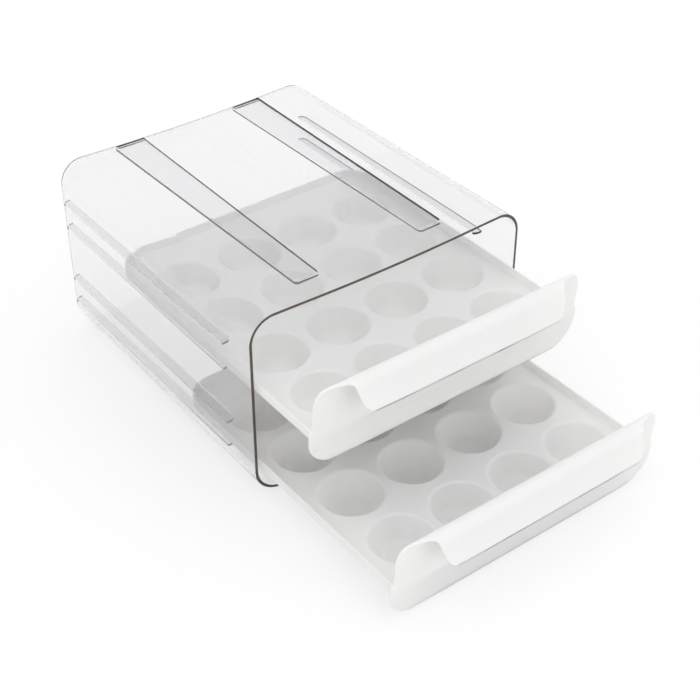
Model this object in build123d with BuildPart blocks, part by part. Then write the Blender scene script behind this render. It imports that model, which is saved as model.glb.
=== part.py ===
"""Egg dispenser: a clear case, open at the front, and two sliding drawers with egg cups.

Millimetres, +Z up. The origin is the middle of the case's underside: X runs across the
front, Y runs from front to back and Z = 0 is the surface that the case stands on. The
drawers are drawn pulled out by different amounts, the lower one further.
"""

import os
from math import atan, radians, tan

from build123d import *

# Case, outside
case_width = 205.0  # across the front rim
case_height = 131.3  # up to the shoulders of the front rim
case_depth = 229.0
case_wall = 2.0
side_draft = 2.0  # each side leans in by this much from front to back
top_draft = 1.7  # the top comes down by this much from front to back
dish_depth = 2.0  # the middle of the top is hollowed by this much
dish_margin = 22.5  # from the case's side to where the hollow starts
bottom_corner_radius = 20.0
top_corner_radius = 17.0
back_edge_radius = 6.0

# Stacking grooves in the top, which widen towards the back and are open there
groove_depth = 0.9  # under the lowest part of the hollowed top
groove_start = 20.0  # from the front rim
groove_middle = 46.9  # from the case's middle to the groove's
groove_front_width = 16.6
groove_back_width = 21.8
groove_end_radius = 2.5

# Rails inside the side walls, a pair for each drawer
drawer_count = 2
header_height = 11.3  # strip of the case's front above the upper drawer's share
rail_thickness = 1.6
rail_reach = 7.0  # from the wall's inner face at the front rim
rail_start = 31.0  # from the front rim
rail_end_radius = 4.0
rail_slot = 16.7  # clear height between the two rails of a pair
lower_rail_top = 21.0  # the surface that the lower drawer's rim rests on

# Drawer tray
running_gap = 0.3  # between the rim and the rail under it
tray_side_gap = 0.6  # between the rim and the case wall
tray_back_gap = 11.5  # behind the closed tray
closed_gap = 0.5  # between the case's front rim and the closed drawer's panel
tray_corner_radius = 20.0
sheet_thickness = 1.7
rim_height = 6.5
rim_thickness = 1.5

# Egg cups, as many as the tray has room for
cup_mouth_radius = 20.0
cup_column_web = 5.9  # between the mouths of two cups side by side
cup_row_web = 7.9  # between the mouths of two cups in a column
cup_front_margin = 7.8  # between the panel and the mouths of the first row
cup_floor_radius = 12.0
cup_depth = 15.0
cup_wall = 1.4
cup_rounding = 8.0  # where the cup's side turns into its floor

# Front panel of a drawer, with its top rolled forward and down into a sloping lip, the pull
panel_wall = 1.8
panel_margin = 0.6  # the panel is this much narrower than the case at each side
panel_gap = 1.2  # above each panel
panel_corner_radius = 20.0
panel_lean = 4.5  # its top leans forward by this much
shoulder_inset = 2.0  # its sides step in by this much above the tray rim
shoulder_radius = 14.0
table_clearance = 0.6  # under the lower drawer's panel
roll_radius = 6.0  # outside radius of the rolled top
roll_flat = 0.2  # narrow flat along the roll's crest
lip_slope = 25.0  # degrees between the lip and the vertical
lip_bottom = 41.5  # lower edge of the lip, from the panel's bottom
lip_top_drop = 1.5  # from the crest down to where the lip's end turns down
lip_top_margin = 24.0  # from the case's side to the lip's end at the roll
lip_bottom_margin = 29.5  # and at its lower edge
lip_corner_radius = 6.0

# How far each drawer stands open, from the case's front rim to its panel's front face
upper_drawer_out = 54.8
lower_drawer_out = 128.8

# Worked out from the sizes above
half_width = case_width / 2
dish_half_width = half_width - dish_margin
rail_pitch = (case_height - header_height) / drawer_count
tray_length = case_depth - case_wall - tray_back_gap + closed_gap + panel_wall
tray_bottom = lower_rail_top + running_gap - table_clearance
sheet_top = tray_bottom + sheet_thickness
rim_top = tray_bottom + rim_height
tray_front_half_width = half_width - case_wall - tray_side_gap
tray_back_half_width = tray_front_half_width - side_draft * tray_length / case_depth
cup_column_pitch = 2 * cup_mouth_radius + cup_column_web
cup_row_pitch = 2 * cup_mouth_radius + cup_row_web
cup_columns = int(2 * (tray_back_half_width - rim_thickness) // cup_column_pitch)
cup_rows = int((tray_length - panel_wall - rim_thickness) // cup_row_pitch)
first_row = panel_wall + cup_front_margin + cup_mouth_radius
panel_height = rail_pitch - panel_gap
panel_half_width = half_width - panel_margin
shoulder_half_width = panel_half_width - shoulder_inset
tray_front = panel_wall / 2 - panel_lean * rim_top / panel_height  # inside the leaning panel


def case_block(inset):
    """The case's outer form, or its cavity, which lies inset inside the sides, top, bottom and
    back, and starts as far in front of the rim."""
    width = case_width - 2 * inset
    height = case_height - 2 * inset
    top = case_height - inset
    slope = Vector(0, case_depth, -top_draft)
    lengthwise = 0.9  # least Y part of a long edge's direction
    with BuildPart() as block:
        with Locations((0, -inset, inset)):
            Wedge(
                width, case_depth, height, side_draft, 0, width - side_draft, height - top_draft,
                align=(Align.CENTER, Align.MIN, Align.MIN),
            )
        with BuildSketch(Plane.XZ.offset(inset)) as hollow:
            with BuildLine():
                dish = ThreePointArc(
                    (-dish_half_width, top), (0, top - dish_depth), (dish_half_width, top)
                )
                Polyline(
                    dish @ 1,
                    (dish_half_width, top + dish_depth),
                    (-dish_half_width, top + dish_depth),
                    dish @ 0,
                )
            make_face()
        extrude(hollow.sketch, amount=slope.length + case_wall, dir=slope, mode=Mode.SUBTRACT)
        for bottom, radius in ((True, bottom_corner_radius), (False, top_corner_radius)):
            corners = block.edges().filter_by(
                lambda edge: abs(edge.tangent_at(0.5).Y) > lengthwise
                and abs(edge.center().X) > dish_half_width + top_corner_radius / 2
                and (edge.center().Z < case_height / 2) == bottom
            )
            fillet(corners, radius - inset)
        fillet(block.edges().group_by(Axis.Y)[-1], back_edge_radius - inset)
    return block.part


def groove_plan(back):
    """The plan of the two grooves, from their closed front ends back to y = back."""
    spread = (groove_back_width - groove_front_width) / 2 / (case_depth - groove_start)
    front_half = groove_front_width / 2
    back_half = front_half + spread * (back - groove_start)
    with BuildSketch() as plan:
        with Locations((-groove_middle, 0), (groove_middle, 0)):
            Polygon(
                (-front_half, groove_start),
                (front_half, groove_start),
                (back_half, back),
                (-back_half, back),
                align=None,
            )
        fillet(plan.vertices().group_by(Axis.Y)[0], groove_end_radius)
    return plan.sketch


def rail_plan():
    """One rail seen from above: free on its inner side, half into the wall on the other."""
    inner = half_width - case_wall - rail_reach
    back = case_depth - case_wall / 2
    start_x = half_width - case_wall / 2 - side_draft * rail_start / case_depth
    back_x = half_width - case_wall / 2 - side_draft
    with BuildSketch() as plan:
        Polygon(
            (inner, rail_start), (start_x, rail_start), (back_x, back), (inner, back),
            align=None,
        )
        front, rear = plan.vertices().group_by(Axis.Y)[0], plan.vertices().group_by(Axis.Y)[-1]
        fillet(front.sort_by(Axis.X)[0], rail_end_radius)
        fillet(rear.sort_by(Axis.X)[-1], back_edge_radius - case_wall / 2)
        mirror(about=Plane.YZ)
    return plan.sketch


top_slope = Vector(0, case_depth, -top_draft).normalized()
groove_floor = Plane(
    origin=(0, 0, case_height - dish_depth - groove_depth),
    x_dir=(1, 0, 0),
    z_dir=Vector(1, 0, 0).cross(top_slope),
)

# The case is drawn with its front rim at Y = 0 and moved back over the origin at the end
with BuildPart() as case_form:
    add(case_block(0))
    add(case_block(case_wall), mode=Mode.SUBTRACT)
    for drawer in range(drawer_count):
        seat = lower_rail_top + drawer * rail_pitch
        for bottom in (seat - rail_thickness, seat + rail_slot):
            with BuildSketch(Plane.XY.offset(bottom)):
                add(rail_plan())
            extrude(amount=rail_thickness)
    with BuildSketch(groove_floor):
        add(groove_plan(case_depth - back_edge_radius))
    extrude(amount=-case_wall)
    with BuildSketch(groove_floor):
        add(groove_plan(case_depth + back_edge_radius))
    extrude(amount=case_wall + dish_depth + groove_depth, mode=Mode.SUBTRACT)

front_rim = -case_depth / 2

with BuildPart() as clear_case:
    with Locations((0, front_rim, 0)):
        add(case_form.part)
clear_case.part.label = "clear_case"


def cup_form(wall):
    """An egg cup's inner form, or its outer form when it is given a wall."""
    with BuildPart() as form:
        with BuildSketch(Plane.XZ):
            with BuildLine():
                outline = FilletPolyline(
                    (0, -cup_depth - wall),
                    (cup_floor_radius + wall, -cup_depth - wall),
                    (cup_mouth_radius + wall, 0),
                    radius=cup_rounding + wall,
                )
                Polyline(outline @ 1, (0, 0), outline @ 0)
            make_face()
        revolve(axis=Axis.Z)
    return form.part


def hook():
    """The panel's wall as it looks from the side: leaning wall, roll and sloping lip."""
    middle_radius = roll_radius - panel_wall / 2
    crest = panel_height - panel_wall / 2
    rear = panel_wall / 2 - panel_lean
    turns = (radians(90) - atan(panel_lean / panel_height), radians(90 - lip_slope))
    front = rear - middle_radius * sum(tan(turn / 2) for turn in turns)
    lip_end = lip_bottom - panel_wall
    lip_reach = (crest - lip_end) * tan(radians(lip_slope))
    with BuildPart() as wall:
        with BuildSketch(Plane.YZ):
            with BuildLine() as path:
                FilletPolyline(
                    (panel_wall / 2, -panel_wall),
                    (rear, crest),
                    (front, crest),
                    (front - lip_reach, lip_end),
                    radius=middle_radius - roll_flat / 2,
                )
            trace(path.line, line_width=panel_wall)
        extrude(amount=half_width, both=True)
    return wall.part


with BuildPart() as tray:
    with BuildSketch(Plane.XY.offset(tray_bottom)) as tray_plan:
        Polygon(
            (-tray_front_half_width, tray_front),
            (tray_front_half_width, tray_front),
            (tray_back_half_width, tray_length),
            (-tray_back_half_width, tray_length),
            align=None,
        )
        fillet(tray_plan.vertices().group_by(Axis.Y)[-1], tray_corner_radius)
    extrude(amount=rim_height)
    with BuildSketch(Plane.XY.offset(sheet_top)):
        add(tray_plan.sketch_local)
        offset(amount=-rim_thickness, mode=Mode.REPLACE)
    extrude(amount=rim_height, mode=Mode.SUBTRACT)
    cups_middle = first_row + (cup_rows - 1) / 2 * cup_row_pitch
    with Locations((0, cups_middle, sheet_top)):
        with GridLocations(cup_column_pitch, cup_row_pitch, cup_columns, cup_rows):
            add(cup_form(cup_wall))
            add(cup_form(0), mode=Mode.SUBTRACT)

# The panel: what lies behind the top of the roll has one outline and the lip another
roll_middle = panel_wall - panel_lean - roll_radius

with BuildPart() as panel:
    with BuildSketch(Plane.XZ.offset(-roll_middle)) as panel_outline:
        with Locations((0, panel_height / 2)):
            Rectangle(2 * shoulder_half_width, panel_height)
        fillet(panel_outline.vertices().group_by(Axis.Y)[-1], shoulder_radius)
        with Locations((0, rim_top / 2)):
            Rectangle(2 * panel_half_width, rim_top)
        fillet(panel_outline.vertices().group_by(Axis.Y)[0], panel_corner_radius)
    extrude(amount=-tray_length)
    add(hook(), mode=Mode.INTERSECT)

with BuildPart() as lip:
    with BuildSketch(Plane.XZ.offset(-roll_middle)):
        with BuildLine():
            end_outline = FilletPolyline(
                (shoulder_half_width - shoulder_radius, panel_height),
                (half_width - lip_top_margin, panel_height - lip_top_drop),
                (half_width - lip_bottom_margin, lip_bottom),
                (0, lip_bottom),
                radius=lip_corner_radius,
            )
            Line(end_outline @ 0, (0, panel_height))
            mirror(about=Plane.YZ)
        make_face()
    extrude(amount=tray_length)
    add(hook(), mode=Mode.INTERSECT)

with BuildPart() as upper_drawer:
    with Locations((0, front_rim - upper_drawer_out, table_clearance + rail_pitch)):
        add([tray.part, panel.part, lip.part])
upper_drawer.part.label = "upper_drawer"

with BuildPart() as lower_drawer:
    with Locations((0, front_rim - lower_drawer_out, table_clearance)):
        add([tray.part, panel.part, lip.part])
lower_drawer.part.label = "lower_drawer"

os.makedirs("parts", exist_ok=True)
export_step(clear_case.part, "parts/clear_case.step")
export_step(upper_drawer.part, "parts/upper_drawer.step")
export_step(lower_drawer.part, "parts/lower_drawer.step")
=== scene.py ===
"""Looks of an egg dispenser: a clear open-fronted case and two white drawers with egg cups.

Metres, in the frame of the part: the origin is the middle of the case's underside, X runs
across the front and Y from front to back. The object's named sizes are in millimetres.
"""

from math import acos, cos, pi, radians, sin, tan

import bmesh
import bpy
from mathutils import Matrix, Vector
from mathutils.geometry import interpolate_bezier


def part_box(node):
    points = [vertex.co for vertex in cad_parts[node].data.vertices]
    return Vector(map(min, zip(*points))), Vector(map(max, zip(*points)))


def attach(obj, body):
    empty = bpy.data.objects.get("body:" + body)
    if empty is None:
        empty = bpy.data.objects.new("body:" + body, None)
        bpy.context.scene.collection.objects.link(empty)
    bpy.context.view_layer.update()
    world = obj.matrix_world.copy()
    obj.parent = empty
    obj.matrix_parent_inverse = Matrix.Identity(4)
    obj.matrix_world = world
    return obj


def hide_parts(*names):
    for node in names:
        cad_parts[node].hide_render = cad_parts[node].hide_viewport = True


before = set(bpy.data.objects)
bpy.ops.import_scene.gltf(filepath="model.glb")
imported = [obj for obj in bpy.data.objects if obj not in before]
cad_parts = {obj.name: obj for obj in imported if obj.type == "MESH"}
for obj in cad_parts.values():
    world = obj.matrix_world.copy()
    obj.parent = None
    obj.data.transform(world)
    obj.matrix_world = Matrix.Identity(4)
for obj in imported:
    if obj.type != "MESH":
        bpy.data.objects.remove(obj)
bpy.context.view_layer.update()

mm = 0.001

# Telling points, edges and faces apart, with distances in millimetres
ALONG = 0.9  # least part of a direction along an axis, to count as along it
SQUARE = 0.1  # most part of a direction along an axis, to count as square to it
TOUCHING = 0.01  # points this near are one
NEAR = 0.1
APART = 1.0
SHARP_ANGLE = radians(50)  # an edge between faces that turn more than this gets rounded
SOFT_ANGLE = radians(32)  # faces that meet at less than this are shaded as one surface

# Case
CASE_LOW, CASE_HIGH = (corner / mm for corner in map(Vector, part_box("clear_case")))
CASE_FRONT = CASE_LOW.y
CASE_BACK = CASE_HIGH.y
CASE_HEIGHT = CASE_HIGH.z
CASE_HALF_WIDTH = CASE_HIGH.x
CASE_WALL = 2.0
SIDE_DRAFT = 2.0
TOP_DRAFT = 1.7
BOTTOM_CORNER = 20.0
TOP_CORNER = 17.0
CORNER_STEPS = 12
BACK_CORNER = 6.0
BACK_CORNER_STEPS = 6
DISH_DEPTH = 2.0
DISH_HALF_WIDTH = 80.0
DISH_COLUMNS = 16
CASE_ROWS = 9
RIM_ROUND = 0.35
RIM_STEPS = 2
RIM_ZONE = 0.5  # everything this near to the front belongs to the rim
RIM_FACING = 0.6  # least forward part of the normal of a face that gets the rim's dark painted shade

# Stacking grooves
GROOVE_MIDDLE = 46.9
GROOVE_START = 20.0
GROOVE_FRONT_WIDTH = 16.6
GROOVE_BACK_WIDTH = 21.8
GROOVE_DEPTH = 0.9
GROOVE_WALL = 0.5  # beside the groove, under the top
GROOVE_END_RADIUS = 2.5
BACKING_OVERLAP = 0.4  # of the groove's backing with the top, over the groove's floor
CUT_RISE = 5.0  # of the form that cuts the groove, over the case

# Rails
RAIL_THICKNESS = 1.6
RAIL_REACH = 7.0
RAIL_START = 31.0
RAIL_END_RADIUS = 4.0
RAIL_SLOT = 16.7
RAIL_PITCH = 60.0
LOWER_RAIL_TOP = 21.0
DRAWER_COUNT = 2
END_STEPS = 5  # in the rounded ends of rails and grooves

# Drawer's panel and lip, from the bottom of the panel's front face
PANEL_WALL = 1.8
PANEL_HEIGHT = 58.8
PANEL_HALF_WIDTH = 101.9
PANEL_CORNER = 20.0
PANEL_LEAN = 4.5
PANEL_COLUMNS = 8
SHOULDER_HALF_WIDTH = 99.9
SHOULDER_RADIUS = 14.0
STEP_START = -1.2  # height of the step in to the shoulder's width, over the rim's top
STEP_HANDLES = (0.8, 0.4)
STEP_END = 2.8
ROLL_RADIUS = 6.0
LIP_SLOPE = radians(22)  # between the lip and the vertical
LIP_SHOULDER = (78.4, 57.2)  # half width and height where the lip's end turns down
LIP_WAIST = (76.6, 49.8)
LIP_FOOT_HALF_WIDTH = 66.0
LIP_BOTTOM = 39.7
LIP_CORNER_STEPS = 12
CURVE_STEPS = 10
EDGE_STEPS = 3
PANEL_EDGE_ROUND = 0.75

# Drawer's tray
TRAY_BOTTOM = 20.7
SHEET_TOP = 22.4
RIM_TOP = 27.2
RIM_THICKNESS = 1.5
TRAY_LENGTH = 217.8
TRAY_FRONT_HALF_WIDTH = 99.9
TRAY_BACK_HALF_WIDTH = 98.0
TRAY_CORNER = 20.0
TRAY_FRONT = -1.0  # inside the leaning panel's wall
SHEET_FILLET = 2.2  # between the sheet and its rim
SHEET_FILLET_STEPS = 5
RIM_TOP_ROUND = 0.55
TRAY_BOTTOM_ROUND = 0.7

# Cups
CUP_COLUMN_PITCH = 45.9
CUP_ROW_PITCH = 47.9
FIRST_ROW = 29.6
CUP_ROWS = 4
CUP_COLUMNS = 4
CUP_SIDES = 64
CUP_MOUTH_RADIUS = 20.0
CUP_FLOOR_RADIUS = 12.0
CUP_DEPTH = 15.0
CUP_WALL = 1.4
CUP_ROUNDING = 8.0
CUP_ROUNDING_REACH = 0.5  # share of the rounding's radius from the corner to its ends
CUP_ROUNDING_STEPS = 8
CUP_MOUTH_ROUND = 1.5
CUP_MOUTH_STEPS = 5
CUP_MOUTH_RISE = 2.0  # of the form that cuts a hollow, over the sheet
CUP_BODY_DROP = 0.4  # of the cups' bodies, under the sheet's top

# Plastic
GRAIN_FINENESS = 40  # how many times finer the grain is than the mottling

# Studio, in metres, with the camera's lens and sensor in millimetres
FLOOR_WIDTH = 12.0
FLOOR_DROP = 0.0003  # under the case's underside
PAPER_IN_LIGHT = (0.87, 0.87, 0.87, 1)  # for the light that it throws back on the object
PAPER_IN_VIEW = (0.36, 0.36, 0.36, 1)  # where it is seen, with a glow added
PAPER_GLOW = 0.65
WORLD_LIGHT = 0.92
WORLD_IN_VIEW = 1.0
OBJECT_MIDDLE = (0, -0.05, 0.05)  # roughly, for lamps to face
DRAWER_FRONTS = (0, -0.2, 0.04)
LENS = 76.56
SENSOR_WIDTH = 36
CAMERA_PLACE = (-0.46379, -0.68402, 0.62245)
CAMERA_AZIMUTH = radians(-37.24)
CAMERA_ELEVATION = radians(37.15)


# Modelling helpers


def add_primitive(add, name, **options):
    """A new primitive, selected alone, under its name."""
    bpy.ops.object.select_all(action="DESELECT")
    add(**options)
    piece = bpy.context.active_object
    piece.name = name
    piece.data.name = name
    return piece


def block(name, low, high):
    """A block between two corners, in millimetres."""
    low, high = Vector(low), Vector(high)
    piece = add_primitive(
        bpy.ops.mesh.primitive_cube_add, name, size=1, location=(low + high) / 2 * mm
    )
    piece.scale = (high - low) * mm
    settle(piece)
    return piece


def settle(piece):
    """Puts the piece's place and scale into its mesh."""
    choose(piece)
    bpy.ops.object.transform_apply(location=True, rotation=True, scale=True)


def choose(piece):
    """Selects the piece alone."""
    bpy.ops.object.select_all(action="DESELECT")
    piece.select_set(True)
    bpy.context.view_layer.objects.active = piece


def edit(piece):
    """Starts edit mode on the piece alone."""
    choose(piece)
    bpy.ops.object.mode_set(mode="EDIT")


def done():
    """Ends edit mode."""
    bpy.ops.object.mode_set(mode="OBJECT")


def select(piece, kind, wanted):
    """Selects the vertices, edges or faces of a piece in edit mode that wanted() accepts."""
    bpy.ops.mesh.select_mode(type=kind)
    bpy.ops.mesh.select_all(action="DESELECT")
    mesh = bmesh.from_edit_mesh(piece.data)
    parts = {"VERT": mesh.verts, "EDGE": mesh.edges, "FACE": mesh.faces}[kind]
    for part in parts:
        if wanted(part):
            part.select_set(True)
    mesh.select_flush_mode()
    bmesh.update_edit_mesh(piece.data)


def middle(edge):
    """The middle of an edge, in millimetres."""
    return (edge.verts[0].co + edge.verts[1].co) / 2 / mm


def direction(edge):
    """The direction of an edge, either way."""
    return (edge.verts[1].co - edge.verts[0].co).normalized()


def is_upright(edge):
    return abs(direction(edge).z) > ALONG


def is_level(edge):
    return abs(direction(edge).z) < SQUARE


def is_sharp(edge):
    return len(edge.link_faces) == 2 and edge.calc_face_angle(0) > SHARP_ANGLE


def is_rear(vert):
    """Whether a point lies behind the origin."""
    return vert.co.y > 0


def bevel(width, segments):
    """Rounds the selected edges."""
    bpy.ops.mesh.bevel(offset=width * mm, segments=segments, affect="EDGES", clamp_overlap=False)


def slice_across(axis, place):
    """Cuts all that is in edit mode square to an axis, at a place on it in millimetres."""
    bpy.ops.mesh.select_all(action="SELECT")
    bpy.ops.mesh.bisect(plane_co=[part * place * mm for part in axis], plane_no=axis)


def merge_doubles():
    """Merges the points in edit mode that lie on top of each other."""
    bpy.ops.mesh.select_all(action="SELECT")
    bpy.ops.mesh.remove_doubles(threshold=TOUCHING * mm)


def outward(piece):
    """Merges doubles and points the faces outwards, or an open sheet's faces one way."""
    edit(piece)
    merge_doubles()
    bpy.ops.mesh.normals_make_consistent(inside=False)
    done()


def weld(piece):
    """Merges the points that a cut leaves on top of each other."""
    edit(piece)
    merge_doubles()
    bpy.ops.mesh.dissolve_degenerate(threshold=TOUCHING * mm)
    done()


def apply(piece, kind, **settings):
    """Adds a modifier with these settings and applies it."""
    choose(piece)
    modifier = piece.modifiers.new(kind.lower(), kind)
    for setting, value in settings.items():
        setattr(modifier, setting, value)
    bpy.ops.object.modifier_apply(modifier=modifier.name)


def combine(piece, other, operation):
    """Adds another piece to this one or cuts it away, and removes it."""
    apply(piece, "BOOLEAN", object=other, operation=operation, solver="EXACT")
    bpy.data.objects.remove(other)


def join(pieces):
    """Joins pieces into the first."""
    bpy.ops.object.select_all(action="DESELECT")
    for piece in pieces:
        piece.select_set(True)
    bpy.context.view_layer.objects.active = pieces[0]
    bpy.ops.object.join()
    return pieces[0]


def copy_at(piece, name, offset):
    """A copy with its own mesh, moved by an offset in millimetres."""
    copied = piece.copy()
    copied.data = piece.data.copy()
    copied.name = name
    copied.data.name = name
    copied.data.transform(Matrix.Translation(Vector(offset) * mm))
    bpy.context.collection.objects.link(copied)
    return copied


def smooth(piece):
    """Shades rounds smooth, and keeps large faces flat beside them."""
    choose(piece)
    bpy.ops.object.shade_smooth_by_angle(angle=SOFT_ANGLE)
    apply(piece, "WEIGHTED_NORMAL", keep_sharp=True)


def dress(piece, *finishes):
    """Gives a piece its materials, the first of them all over."""
    piece.data.materials.clear()
    for finish in finishes:
        piece.data.materials.append(finish)


def paint(piece, finish, wanted):
    """Gives the faces that wanted() accepts one of the piece's materials."""
    edit(piece)
    select(piece, "FACE", wanted)
    piece.active_material_index = piece.data.materials.find(finish.name)
    bpy.ops.object.material_slot_assign()
    done()


# Outlines, as points of (half width or radius, height)


def curve(start, start_handle, end_handle, end, steps=CURVE_STEPS):
    """A bent stretch, from start to end."""
    corners = [Vector((*point, 0)) for point in (start, start_handle, end_handle, end)]
    return [point.to_2d() for point in interpolate_bezier(*corners, steps)]


def quarter(centre_x, centre_z, radius, start):
    """A quarter circle that goes up a side, from an angle on."""
    turns = (start + pi / 2 * step / CORNER_STEPS for step in range(CORNER_STEPS + 1))
    return [Vector((centre_x + radius * cos(turn), centre_z + radius * sin(turn))) for turn in turns]


def turn_corner(corner, back, ahead, reach, steps, handles=(0.4, 0.4)):
    """A rounded corner between the directions back and ahead, that starts and ends reach away."""
    return curve(corner + back * reach, corner + back * reach * handles[0],
                 corner + ahead * reach * handles[1], corner + ahead * reach, steps)


# Drawer


def panel_outline():
    """Up the side of the panel, from its bottom corner to the crest."""
    points = quarter(PANEL_HALF_WIDTH - PANEL_CORNER, PANEL_CORNER, PANEL_CORNER, -pi / 2)
    points += curve(
        (PANEL_HALF_WIDTH, RIM_TOP + STEP_START),
        (PANEL_HALF_WIDTH, RIM_TOP + STEP_HANDLES[0]),
        (SHOULDER_HALF_WIDTH, RIM_TOP + STEP_HANDLES[1]),
        (SHOULDER_HALF_WIDTH, RIM_TOP + STEP_END),
    )
    points += quarter(SHOULDER_HALF_WIDTH - SHOULDER_RADIUS, PANEL_HEIGHT - SHOULDER_RADIUS,
                      SHOULDER_RADIUS, 0)
    return points


def lip_outline():
    """Down the S-shaped end of the lip, from after the crest to its lower edge."""
    crest = (SHOULDER_HALF_WIDTH - SHOULDER_RADIUS, PANEL_HEIGHT)
    foot = (LIP_FOOT_HALF_WIDTH, LIP_BOTTOM)
    points = curve(crest, (82.0, PANEL_HEIGHT), (79.3, 58.7), LIP_SHOULDER)
    points += curve(LIP_SHOULDER, (77.8, 55.4), (77.3, 52.6), LIP_WAIST)[1:]
    points += curve(LIP_WAIST, (75.2, 44.2), (73.4, LIP_BOTTOM), foot, LIP_CORNER_STEPS)[1:]
    return points[1:]


def wall_y(height):
    """The middle of the leaning panel's wall."""
    return PANEL_WALL / 2 - PANEL_LEAN * height / PANEL_HEIGHT


def depth_of(height, behind):
    """(y, z) of the middle of the wall where the outline has this height, on the panel behind
    the crest or on the lip before it."""
    middle_radius = ROLL_RADIUS - PANEL_WALL / 2
    roll_z = PANEL_HEIGHT - ROLL_RADIUS
    roll_y = wall_y(roll_z) - middle_radius
    if behind and height < roll_z:
        return wall_y(height), height
    end = pi / 2 if behind else pi / 2 - LIP_SLOPE
    rise = min(max((height - roll_z) / ROLL_RADIUS, 0), 1)
    turn = min(acos(rise), end)
    side = 1 if behind else -1
    y = roll_y + side * middle_radius * sin(turn)
    z = roll_z + middle_radius * cos(turn)
    drop = roll_z + ROLL_RADIUS * cos(turn) - height
    return y + side * drop * tan(LIP_SLOPE), z - drop


def drawer_front():
    """The panel, its rolled top and the lip, drawn out row by row from the panel's bottom."""
    outline = [(width, *depth_of(height, True)) for width, height in panel_outline()]
    outline += [(width, *depth_of(height, False)) for width, height in lip_outline()]
    piece = add_primitive(bpy.ops.mesh.primitive_grid_add, "drawer_front", size=2,
                          x_subdivisions=PANEL_COLUMNS, y_subdivisions=1)
    edit(piece)
    select(piece, "VERT", is_rear)
    bpy.ops.mesh.delete(type="VERT")
    width, y, z = outline[0]
    bpy.ops.mesh.select_all(action="SELECT")
    bpy.ops.transform.resize(value=(width * mm, 1, 1))
    bpy.ops.transform.translate(value=(0, 1 + y * mm, z * mm))
    for (width, y, z), (next_width, next_y, next_z) in zip(outline, outline[1:]):
        bpy.ops.mesh.extrude_edges_move()
        bpy.ops.transform.translate(value=(0, (next_y - y) * mm, (next_z - z) * mm))
        bpy.ops.transform.resize(value=(next_width / width, 1, 1))
    done()
    outward(piece)
    apply(piece, "SOLIDIFY", thickness=PANEL_WALL * mm, offset=0, use_even_offset=True)
    edit(piece)
    select(piece, "EDGE", is_sharp)
    bevel(PANEL_EDGE_ROUND, EDGE_STEPS)
    done()
    return piece


def lathe(name, outline):
    """A closed round form from (radius, height) points, from the axis to the axis."""
    piece = add_primitive(bpy.ops.mesh.primitive_plane_add, name, size=1)
    edit(piece)
    select(piece, "VERT", lambda vert: vert.co.x > 0 or vert.co.y > 0)
    bpy.ops.mesh.delete(type="VERT")
    bpy.ops.mesh.select_all(action="SELECT")
    radius, height = outline[0]
    bpy.ops.transform.translate(value=(0.5 + radius * mm, 0.5, height * mm))
    for (radius, height), (next_radius, next_height) in zip(outline, outline[1:]):
        step = ((next_radius - radius) * mm, 0, (next_height - height) * mm)
        bpy.ops.mesh.extrude_vertices_move(TRANSFORM_OT_translate={"value": step})
    bpy.ops.mesh.select_all(action="SELECT")
    bpy.ops.mesh.spin(steps=CUP_SIDES, angle=2 * pi, center=(0, 0, 0), axis=(0, 0, 1))
    done()
    outward(piece)
    return piece


def cup_outline(wall, mouth_round):
    """A cup's inner form, or its outer form when it is given a wall."""
    outwards = Vector((1, 0))
    floor = -CUP_DEPTH - wall
    foot = Vector((CUP_FLOOR_RADIUS + wall, floor))
    mouth = Vector((CUP_MOUTH_RADIUS + wall, 0))
    rise = (mouth - foot).normalized()
    points = [Vector((0, floor))]
    points += turn_corner(foot, -outwards, rise, (CUP_ROUNDING + wall) * CUP_ROUNDING_REACH,
                          CUP_ROUNDING_STEPS)
    if mouth_round:
        points += turn_corner(mouth, -rise, outwards, mouth_round, CUP_MOUTH_STEPS, (0.4, 0.6))
        points.append(points[-1] + Vector((0, CUP_MOUTH_RISE)))
    else:
        points.append(mouth - Vector((0, CUP_BODY_DROP)))
    points.append(Vector((0, points[-1].y)))
    return points


def cups(name, wall, mouth_round):
    """All the cups of a tray as closed forms."""
    first = lathe(name, cup_outline(wall, mouth_round))
    forms = []
    for row in range(CUP_ROWS):
        for column in range(CUP_COLUMNS):
            x = (column - (CUP_COLUMNS - 1) / 2) * CUP_COLUMN_PITCH
            forms.append(copy_at(first, name, (x, FIRST_ROW + row * CUP_ROW_PITCH, SHEET_TOP)))
    bpy.data.objects.remove(first)
    return join(forms)


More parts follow.
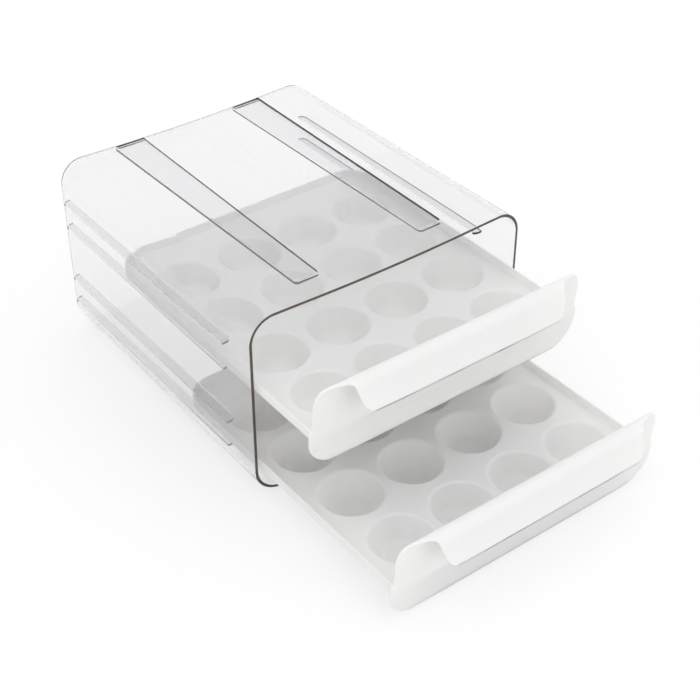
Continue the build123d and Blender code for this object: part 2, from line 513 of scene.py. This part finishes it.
def drawer_tray():
    """The sheet with its rim and cups."""
    tray = block("drawer_tray", (-TRAY_FRONT_HALF_WIDTH, TRAY_FRONT, TRAY_BOTTOM),
                 (TRAY_FRONT_HALF_WIDTH, TRAY_LENGTH, RIM_TOP))
    edit(tray)
    select(tray, "VERT", lambda vert: vert.co.y > TRAY_LENGTH / 2 * mm)
    bpy.ops.transform.resize(value=(TRAY_BACK_HALF_WIDTH / TRAY_FRONT_HALF_WIDTH, 1, 1))
    select(tray, "EDGE", lambda edge: is_upright(edge) and middle(edge).y > TRAY_LENGTH / 2)
    bevel(TRAY_CORNER, CORNER_STEPS)
    select(tray, "FACE", lambda face: face.normal.z > ALONG)
    bpy.ops.mesh.inset(thickness=RIM_THICKNESS * mm, depth=0)
    bpy.ops.mesh.extrude_region_move(
        TRANSFORM_OT_translate={"value": (0, 0, (SHEET_TOP - RIM_TOP) * mm)})
    select(tray, "EDGE", lambda edge: is_level(edge) and abs(middle(edge).z - SHEET_TOP) < NEAR)
    bevel(SHEET_FILLET, SHEET_FILLET_STEPS)
    for height, rounding in ((RIM_TOP, RIM_TOP_ROUND), (TRAY_BOTTOM, TRAY_BOTTOM_ROUND)):
        select(tray, "EDGE", lambda edge: is_level(edge) and is_sharp(edge)
               and abs(middle(edge).z - height) < NEAR)
        bevel(rounding, EDGE_STEPS)
    done()
    combine(tray, cups("cup_bodies", CUP_WALL, 0), "UNION")
    combine(tray, cups("cup_hollows", 0, CUP_MOUTH_ROUND), "DIFFERENCE")
    return tray


def drawers():
    """Both drawers: one is modelled and copied to each place."""
    mould = drawer_front()
    combine(mould, drawer_tray(), "UNION")
    weld(mould)
    made = []
    for node in ("upper_drawer", "lower_drawer"):
        low, high = map(Vector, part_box(node))
        offset = (0, high.y / mm - TRAY_LENGTH, low.z / mm)
        piece = copy_at(mould, node + "_moulding", offset)
        smooth(piece)
        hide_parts(node)
        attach(piece, node + "_body")
        made.append(piece)
    bpy.data.objects.remove(mould)
    return made


# Case


def hollow_top(shell):
    """Slices the case, in edit mode, into columns and lowers its top to the dish's curve."""
    across = (1, 0, 0)
    columns = range(1, DISH_COLUMNS)
    places = [(2 * column / DISH_COLUMNS - 1) * DISH_HALF_WIDTH for column in columns]
    for place in places:
        slice_across(across, place)
    for place in places:
        select(shell, "VERT", lambda vert: vert.co.z > (CASE_HEIGHT - TOP_CORNER) * mm
               and abs(vert.co.x / mm - place) < TOUCHING)
        sag = DISH_DEPTH * (1 - (place / DISH_HALF_WIDTH) ** 2)
        bpy.ops.transform.translate(value=(0, 0, -sag * mm))


def case_shell():
    """The walls: a box with draft and rounded corners, open in front, with a hollowed top."""
    shell = block("clear_case_moulding", CASE_LOW, CASE_HIGH)
    edit(shell)
    select(shell, "VERT", is_rear)
    bpy.ops.transform.resize(value=(1 - SIDE_DRAFT / CASE_HALF_WIDTH, 1, 1))
    select(shell, "VERT", lambda vert: is_rear(vert) and vert.co.z > CASE_HEIGHT / 2 * mm)
    bpy.ops.transform.translate(value=(0, 0, -TOP_DRAFT * mm))
    select(shell, "FACE", lambda face: face.normal.y < -ALONG)
    bpy.ops.mesh.delete(type="ONLY_FACE")
    for low, radius in ((True, BOTTOM_CORNER), (False, TOP_CORNER)):
        select(shell, "EDGE", lambda edge: abs(direction(edge).y) > ALONG
               and (middle(edge).z < CASE_HEIGHT / 2) == low)
        bevel(radius, CORNER_STEPS)
    select(shell, "EDGE", lambda edge: middle(edge).y > CASE_BACK - NEAR)
    bevel(BACK_CORNER, BACK_CORNER_STEPS)
    hollow_top(shell)
    for row in range(1, CASE_ROWS):
        slice_across((0, 1, 0), CASE_FRONT + row / CASE_ROWS * (CASE_BACK - CASE_FRONT))
    done()
    outward(shell)
    apply(shell, "SOLIDIFY", thickness=CASE_WALL * mm, offset=-1, use_even_offset=True)
    edit(shell)
    select(shell, "EDGE", lambda edge: is_sharp(edge) and middle(edge).y < CASE_FRONT + RIM_ZONE)
    bevel(RIM_ROUND, RIM_STEPS)
    done()
    return shell


def groove_form(name, side, floor, top, end, grow):
    """The prism of one groove between two heights, wider by grow in front and at its sides."""
    centre = side * GROOVE_MIDDLE
    start = CASE_FRONT + GROOVE_START - grow
    spread = (GROOVE_BACK_WIDTH - GROOVE_FRONT_WIDTH) / (CASE_BACK - CASE_FRONT - GROOVE_START)
    front_half = GROOVE_FRONT_WIDTH / 2 + grow
    back_half = front_half + spread / 2 * (end - start)
    piece = block(name, (centre - front_half, start, floor), (centre + front_half, end, top))
    edit(piece)
    select(piece, "VERT", is_rear)
    bpy.ops.transform.resize(value=(back_half / front_half, 1, 1),
                             center_override=(centre * mm, 0, 0))
    fall = TOP_DRAFT * (end - start) / (CASE_BACK - CASE_FRONT)
    bpy.ops.transform.translate(value=(0, 0, -fall * mm))
    select(piece, "EDGE", lambda edge: is_upright(edge) and middle(edge).y < 0)
    bevel(GROOVE_END_RADIUS, END_STEPS)
    done()
    return piece


def cut_grooves(shell):
    """Cuts both stacking grooves into the top, after a backing under each has been added."""
    floor = CASE_HEIGHT - DISH_DEPTH - GROOVE_DEPTH
    for side in (-1, 1):
        backing = groove_form("backing", side, floor - CASE_WALL, floor + BACKING_OVERLAP,
                              CASE_BACK - BACK_CORNER, GROOVE_WALL)
        combine(shell, backing, "UNION")
    for side in (-1, 1):
        groove = groove_form("groove", side, floor, CASE_HEIGHT + CUT_RISE,
                             CASE_BACK + BACK_CORNER, 0)
        combine(shell, groove, "DIFFERENCE")


def rail_form(name, side, bottom):
    """One rail, half into the wall."""
    inner = CASE_HALF_WIDTH - CASE_WALL - RAIL_REACH
    outer = CASE_HALF_WIDTH - CASE_WALL / 2
    back = CASE_BACK - CASE_WALL / 2
    start = CASE_FRONT + RAIL_START
    left, right = sorted((side * inner, side * outer))
    low, high = Vector((left, start, bottom)), Vector((right, back, bottom))
    high.z += RAIL_THICKNESS
    piece = block(name, low, high)
    edit(piece)
    select(piece, "VERT", lambda vert: is_rear(vert) and abs(vert.co.x) > (outer - APART) * mm)
    bpy.ops.transform.translate(value=(-side * SIDE_DRAFT * mm, 0, 0))
    select(piece, "EDGE", lambda edge: is_upright(edge) and middle(edge).y < 0
           and abs(middle(edge).x) < inner + APART)
    bevel(RAIL_END_RADIUS, END_STEPS)
    select(piece, "EDGE", lambda edge: is_upright(edge) and middle(edge).y > 0
           and abs(middle(edge).x) > inner + APART)
    bevel(BACK_CORNER - CASE_WALL / 2, END_STEPS)
    done()
    return piece


def add_rails(shell):
    """Adds a pair of rails for each drawer to each side wall."""
    for side in (-1, 1):
        for drawer in range(DRAWER_COUNT):
            seat = LOWER_RAIL_TOP + drawer * RAIL_PITCH
            for bottom in (seat - RAIL_THICKNESS, seat + RAIL_SLOT):
                combine(shell, rail_form("rail", side, bottom), "UNION")


def case():
    """The clear moulding: walls, grooves and rails."""
    shell = case_shell()
    cut_grooves(shell)
    add_rails(shell)
    smooth(shell)
    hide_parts("clear_case")
    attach(shell, "case")
    return shell


def is_rail_face(face):
    """Whether a face of the case is a flat of a rail."""
    place = face.calc_center_median() / mm
    return (abs(face.normal.z) > ALONG and BOTTOM_CORNER / 2 < place.z < CASE_HEIGHT - TOP_CORNER
            and abs(place.x) > CASE_HALF_WIDTH - CASE_WALL - RAIL_REACH - APART)


def is_groove_floor(face):
    """Whether a face of the case is part of a groove's floor."""
    place = face.calc_center_median() / mm
    fall = TOP_DRAFT * (place.y - CASE_FRONT) / (CASE_BACK - CASE_FRONT)
    depth = CASE_HEIGHT - fall - place.z
    return (face.normal.z > ALONG and abs(abs(place.x) - GROOVE_MIDDLE) < GROOVE_BACK_WIDTH / 2
            and DISH_DEPTH + GROOVE_DEPTH / 2 < depth < DISH_DEPTH + CASE_WALL)


def is_rim_face(face):
    """Whether a face of the case is the front edge of its walls."""
    place = face.calc_center_median() / mm
    return face.normal.y < -RIM_FACING and place.y < CASE_FRONT + RIM_ZONE


# Materials


def material(name):
    """A new material, its nodes, its links and its shader."""
    made = bpy.data.materials.new(name)
    made.use_nodes = True
    nodes = made.node_tree.nodes
    return made, nodes, made.node_tree.links, nodes["Principled BSDF"]


def colour_mix(nodes, **colours):
    """A node that mixes the colours A and B, of which either may be linked later."""
    mix = nodes.new("ShaderNodeMix")
    mix.data_type = "RGBA"
    for name, colour in colours.items():
        mix.inputs[name].default_value = colour
    return mix


def value_range(nodes, low, high):
    """A node that turns a factor into a value between two others."""
    values = nodes.new("ShaderNodeMapRange")
    values.inputs["To Min"].default_value = low
    values.inputs["To Max"].default_value = high
    return values


def fine_texture():
    """A group for moulded plastic: slight mottling, and a much finer grain, each from 0 to 1."""
    group = bpy.data.node_groups.new("moulded_plastic_texture", "ShaderNodeTree")
    group.interface.new_socket("Vector", in_out="INPUT", socket_type="NodeSocketVector")
    group.interface.new_socket("Scale", in_out="INPUT", socket_type="NodeSocketFloat")
    group.interface.new_socket("Mottle", in_out="OUTPUT", socket_type="NodeSocketFloat")
    group.interface.new_socket("Grain", in_out="OUTPUT", socket_type="NodeSocketFloat")
    start = group.nodes.new("NodeGroupInput")
    end = group.nodes.new("NodeGroupOutput")
    mottle = group.nodes.new("ShaderNodeTexNoise")
    grain = group.nodes.new("ShaderNodeTexNoise")
    finer = group.nodes.new("ShaderNodeMath")
    finer.operation = "MULTIPLY"
    finer.inputs[1].default_value = GRAIN_FINENESS
    link = group.links.new
    link(start.outputs["Vector"], mottle.inputs["Vector"])
    link(start.outputs["Vector"], grain.inputs["Vector"])
    link(start.outputs["Scale"], mottle.inputs["Scale"])
    link(start.outputs["Scale"], finer.inputs[0])
    link(finer.outputs[0], grain.inputs["Scale"])
    link(mottle.outputs["Fac"], end.inputs["Mottle"])
    link(grain.outputs["Fac"], end.inputs["Grain"])
    return group


def mottled(made, texture, scale, colours, roughness):
    """Mottles a material's roughness, and returns its texture node and its mottled colour."""
    nodes, links = made.node_tree.nodes, made.node_tree.links
    place = nodes.new("ShaderNodeTexCoord")
    plastic = nodes.new("ShaderNodeGroup")
    plastic.node_tree = texture
    plastic.inputs["Scale"].default_value = scale
    links.new(place.outputs["Object"], plastic.inputs["Vector"])
    dark, light = colours
    tone = colour_mix(nodes, A=dark, B=light)
    links.new(plastic.outputs["Mottle"], tone.inputs["Factor"])
    gloss = value_range(nodes, *roughness)
    links.new(plastic.outputs["Mottle"], gloss.inputs["Value"])
    links.new(gloss.outputs["Result"], nodes["Principled BSDF"].inputs["Roughness"])
    return plastic, tone.outputs["Result"]


def drawer_plastic(texture):
    """Satin white polypropylene, slightly translucent."""
    made, nodes, links, shader = material("drawer_plastic")
    shader.inputs["IOR"].default_value = 1.49
    shader.inputs["Subsurface Weight"].default_value = 0.5
    shader.inputs["Subsurface Radius"].default_value = (1.0, 0.92, 0.84)
    shader.inputs["Subsurface Scale"].default_value = 0.008
    colours = ((0.89, 0.882, 0.866, 1), (0.915, 0.909, 0.898, 1))
    plastic, tone = mottled(made, texture, scale=30, colours=colours, roughness=(0.36, 0.48))
    links.new(tone, shader.inputs["Base Color"])
    bump = nodes.new("ShaderNodeBump")
    bump.inputs["Strength"].default_value = 0.08
    bump.inputs["Distance"].default_value = 0.0001
    links.new(plastic.outputs["Grain"], bump.inputs["Height"])
    links.new(bump.outputs["Normal"], shader.inputs["Normal"])
    return made


def clear_plastic(name, texture, colours, painted_edge_shade, roughest, clarity):
    """Clear styrene that lets the lamps' light through, darker where it is seen edge on: painted
    shade for the dark reflections along its edges, and partly for the longer path through it.
    """
    made, nodes, links, shader = material(name)
    shader.inputs["IOR"].default_value = 1.38
    shader.inputs["Transmission Weight"].default_value = clarity
    shader.inputs["Specular Tint"].default_value = (0.9, 0.9, 0.92, 1)
    plastic, tone = mottled(made, texture, scale=14, colours=colours, roughness=(0.0, roughest))
    # Painted shade: the colour darkens towards a grey where the surface is seen edge on, for dark
    # reflections along the edges
    facing = nodes.new("ShaderNodeLayerWeight")
    facing.inputs["Blend"].default_value = 0.15
    depth = colour_mix(nodes, B=painted_edge_shade)
    links.new(facing.outputs["Facing"], depth.inputs["Factor"])
    links.new(tone, depth.inputs["A"])
    links.new(depth.outputs["Result"], shader.inputs["Base Color"])
    path = nodes.new("ShaderNodeLightPath")
    clear = nodes.new("ShaderNodeBsdfTransparent")
    either = nodes.new("ShaderNodeMixShader")
    links.new(path.outputs["Is Shadow Ray"], either.inputs["Fac"])
    links.new(shader.outputs["BSDF"], either.inputs[1])
    links.new(clear.outputs["BSDF"], either.inputs[2])
    links.new(either.outputs["Shader"], nodes["Material Output"].inputs["Surface"])
    return made


def clear_wall_plastic(texture):
    """The case's walls, with a light grey painted shade where they are seen edge on."""
    return clear_plastic("case_plastic", texture, painted_edge_shade=(0.78, 0.78, 0.80, 1),
                         colours=((0.984, 0.984, 0.988, 1), (0.992, 0.992, 0.994, 1)),
                         roughest=0.02, clarity=0.98)


def rib_plastic_with_painted_shade(texture):
    """The rails and the grooves' floors, which look greyer: their colour is a painted grey shade."""
    return clear_plastic("case_rib_plastic_painted_shade", texture, painted_edge_shade=(0.66, 0.66, 0.68, 1),
                         colours=((0.83, 0.83, 0.85, 1), (0.85, 0.85, 0.865, 1)),
                         roughest=0.08, clarity=0.98)


def rim_plastic_with_painted_shade(texture):
    """The front edge of the walls, which looks dark: painted shade, a dark brown colour for the
    clear edge seen end on.
    """
    return clear_plastic("case_rim_plastic_painted_shade", texture, painted_edge_shade=(0.16, 0.12, 0.10, 1),
                         colours=((0.22, 0.16, 0.13, 1), (0.27, 0.20, 0.16, 1)),
                         roughest=0.05, clarity=0.6)


# Studio


def background_rays(nodes, links):
    """1 for rays that show the background directly, through the case or reflected, else 0."""
    path = nodes.new("ShaderNodeLightPath")
    seen = path.outputs["Is Camera Ray"]
    for ray in ("Is Transmission Ray", "Is Glossy Ray"):
        either = nodes.new("ShaderNodeMath")
        either.operation = "MAXIMUM"
        links.new(seen, either.inputs[0])
        links.new(path.outputs[ray], either.inputs[1])
        seen = either.outputs[0]
    return seen


def floor_paper():
    """Matt white paper that keeps the object's shadow."""
    made, nodes, links, shader = material("floor_paper")
    shader.inputs["Roughness"].default_value = 0.9
    shader.inputs["Specular IOR Level"].default_value = 0.0
    shader.inputs["Emission Color"].default_value = (1, 1, 1, 1)
    seen = background_rays(nodes, links)
    glow = nodes.new("ShaderNodeMath")
    glow.operation = "MULTIPLY"
    glow.inputs[1].default_value = PAPER_GLOW
    links.new(seen, glow.inputs[0])
    links.new(glow.outputs[0], shader.inputs["Emission Strength"])
    paper = colour_mix(nodes, A=PAPER_IN_LIGHT, B=PAPER_IN_VIEW)
    links.new(seen, paper.inputs["Factor"])
    links.new(paper.outputs["Result"], shader.inputs["Base Color"])
    return made


def studio_floor():
    """A flat floor, just under the case."""
    floor = add_primitive(bpy.ops.mesh.primitive_plane_add, "floor", size=FLOOR_WIDTH,
                          location=(0, 0, -FLOOR_DROP))
    settle(floor)
    floor.data.materials.append(floor_paper())


def studio_world():
    """An even white world."""
    world = bpy.data.worlds.new("studio")
    bpy.context.scene.world = world
    world.use_nodes = True
    nodes, links = world.node_tree.nodes, world.node_tree.links
    backdrop = nodes["Background"]
    backdrop.inputs["Color"].default_value = (1, 1, 1, 1)
    strength = value_range(nodes, WORLD_LIGHT, WORLD_IN_VIEW)
    links.new(background_rays(nodes, links), strength.inputs["Value"])
    links.new(strength.outputs["Result"], backdrop.inputs["Strength"])


def lamp(name, place, target, size, power):
    """A square soft lamp that faces a target."""
    data = bpy.data.lights.new(name, "AREA")
    data.size = size
    data.energy = power
    light = bpy.data.objects.new(name, data)
    light.location = place
    light.rotation_euler = (Vector(target) - Vector(place)).to_track_quat("-Z", "Y").to_euler()
    bpy.context.collection.objects.link(light)


def photo_camera():
    """The camera at the photograph's place and angle."""
    data = bpy.data.cameras.new("photo_camera")
    data.lens = LENS
    data.sensor_width = SENSOR_WIDTH
    camera = bpy.data.objects.new("photo_camera", data)
    across = cos(CAMERA_ELEVATION)
    back = Vector((sin(CAMERA_AZIMUTH) * across, -cos(CAMERA_AZIMUTH) * across,
                   sin(CAMERA_ELEVATION)))
    camera.location = CAMERA_PLACE
    camera.rotation_euler = (-back).to_track_quat("-Z", "Y").to_euler()
    bpy.context.collection.objects.link(camera)
    bpy.context.scene.camera = camera


def studio():
    """Floor, white world, soft lamps and the camera."""
    studio_floor()
    studio_world()
    lamp("key_lamp", place=(-0.9, -0.3, 1.5), target=OBJECT_MIDDLE, size=1.2, power=1.2)
    lamp("fill_lamp", place=(0.5, -1.5, 0.35), target=DRAWER_FRONTS, size=1.0, power=2.2)
    lamp("top_lamp", place=(0.1, 0.1, 1.9), target=OBJECT_MIDDLE, size=2.2, power=3.3)
    photo_camera()
    bpy.context.scene.view_settings.view_transform = "Standard"


texture = fine_texture()
white = drawer_plastic(texture)
walls = clear_wall_plastic(texture)
ribs_painted_shade = rib_plastic_with_painted_shade(texture)
rim = rim_plastic_with_painted_shade(texture)
for drawer in drawers():
    dress(drawer, white)
shell = case()
dress(shell, walls, ribs_painted_shade, rim)
# Painted shade: the rails and the grooves' floors get the greyer material
paint(shell, ribs_painted_shade, is_rail_face)
paint(shell, ribs_painted_shade, is_groove_floor)
# Painted shade: the front edge of the walls gets the dark material
paint(shell, rim, is_rim_face)
studio()
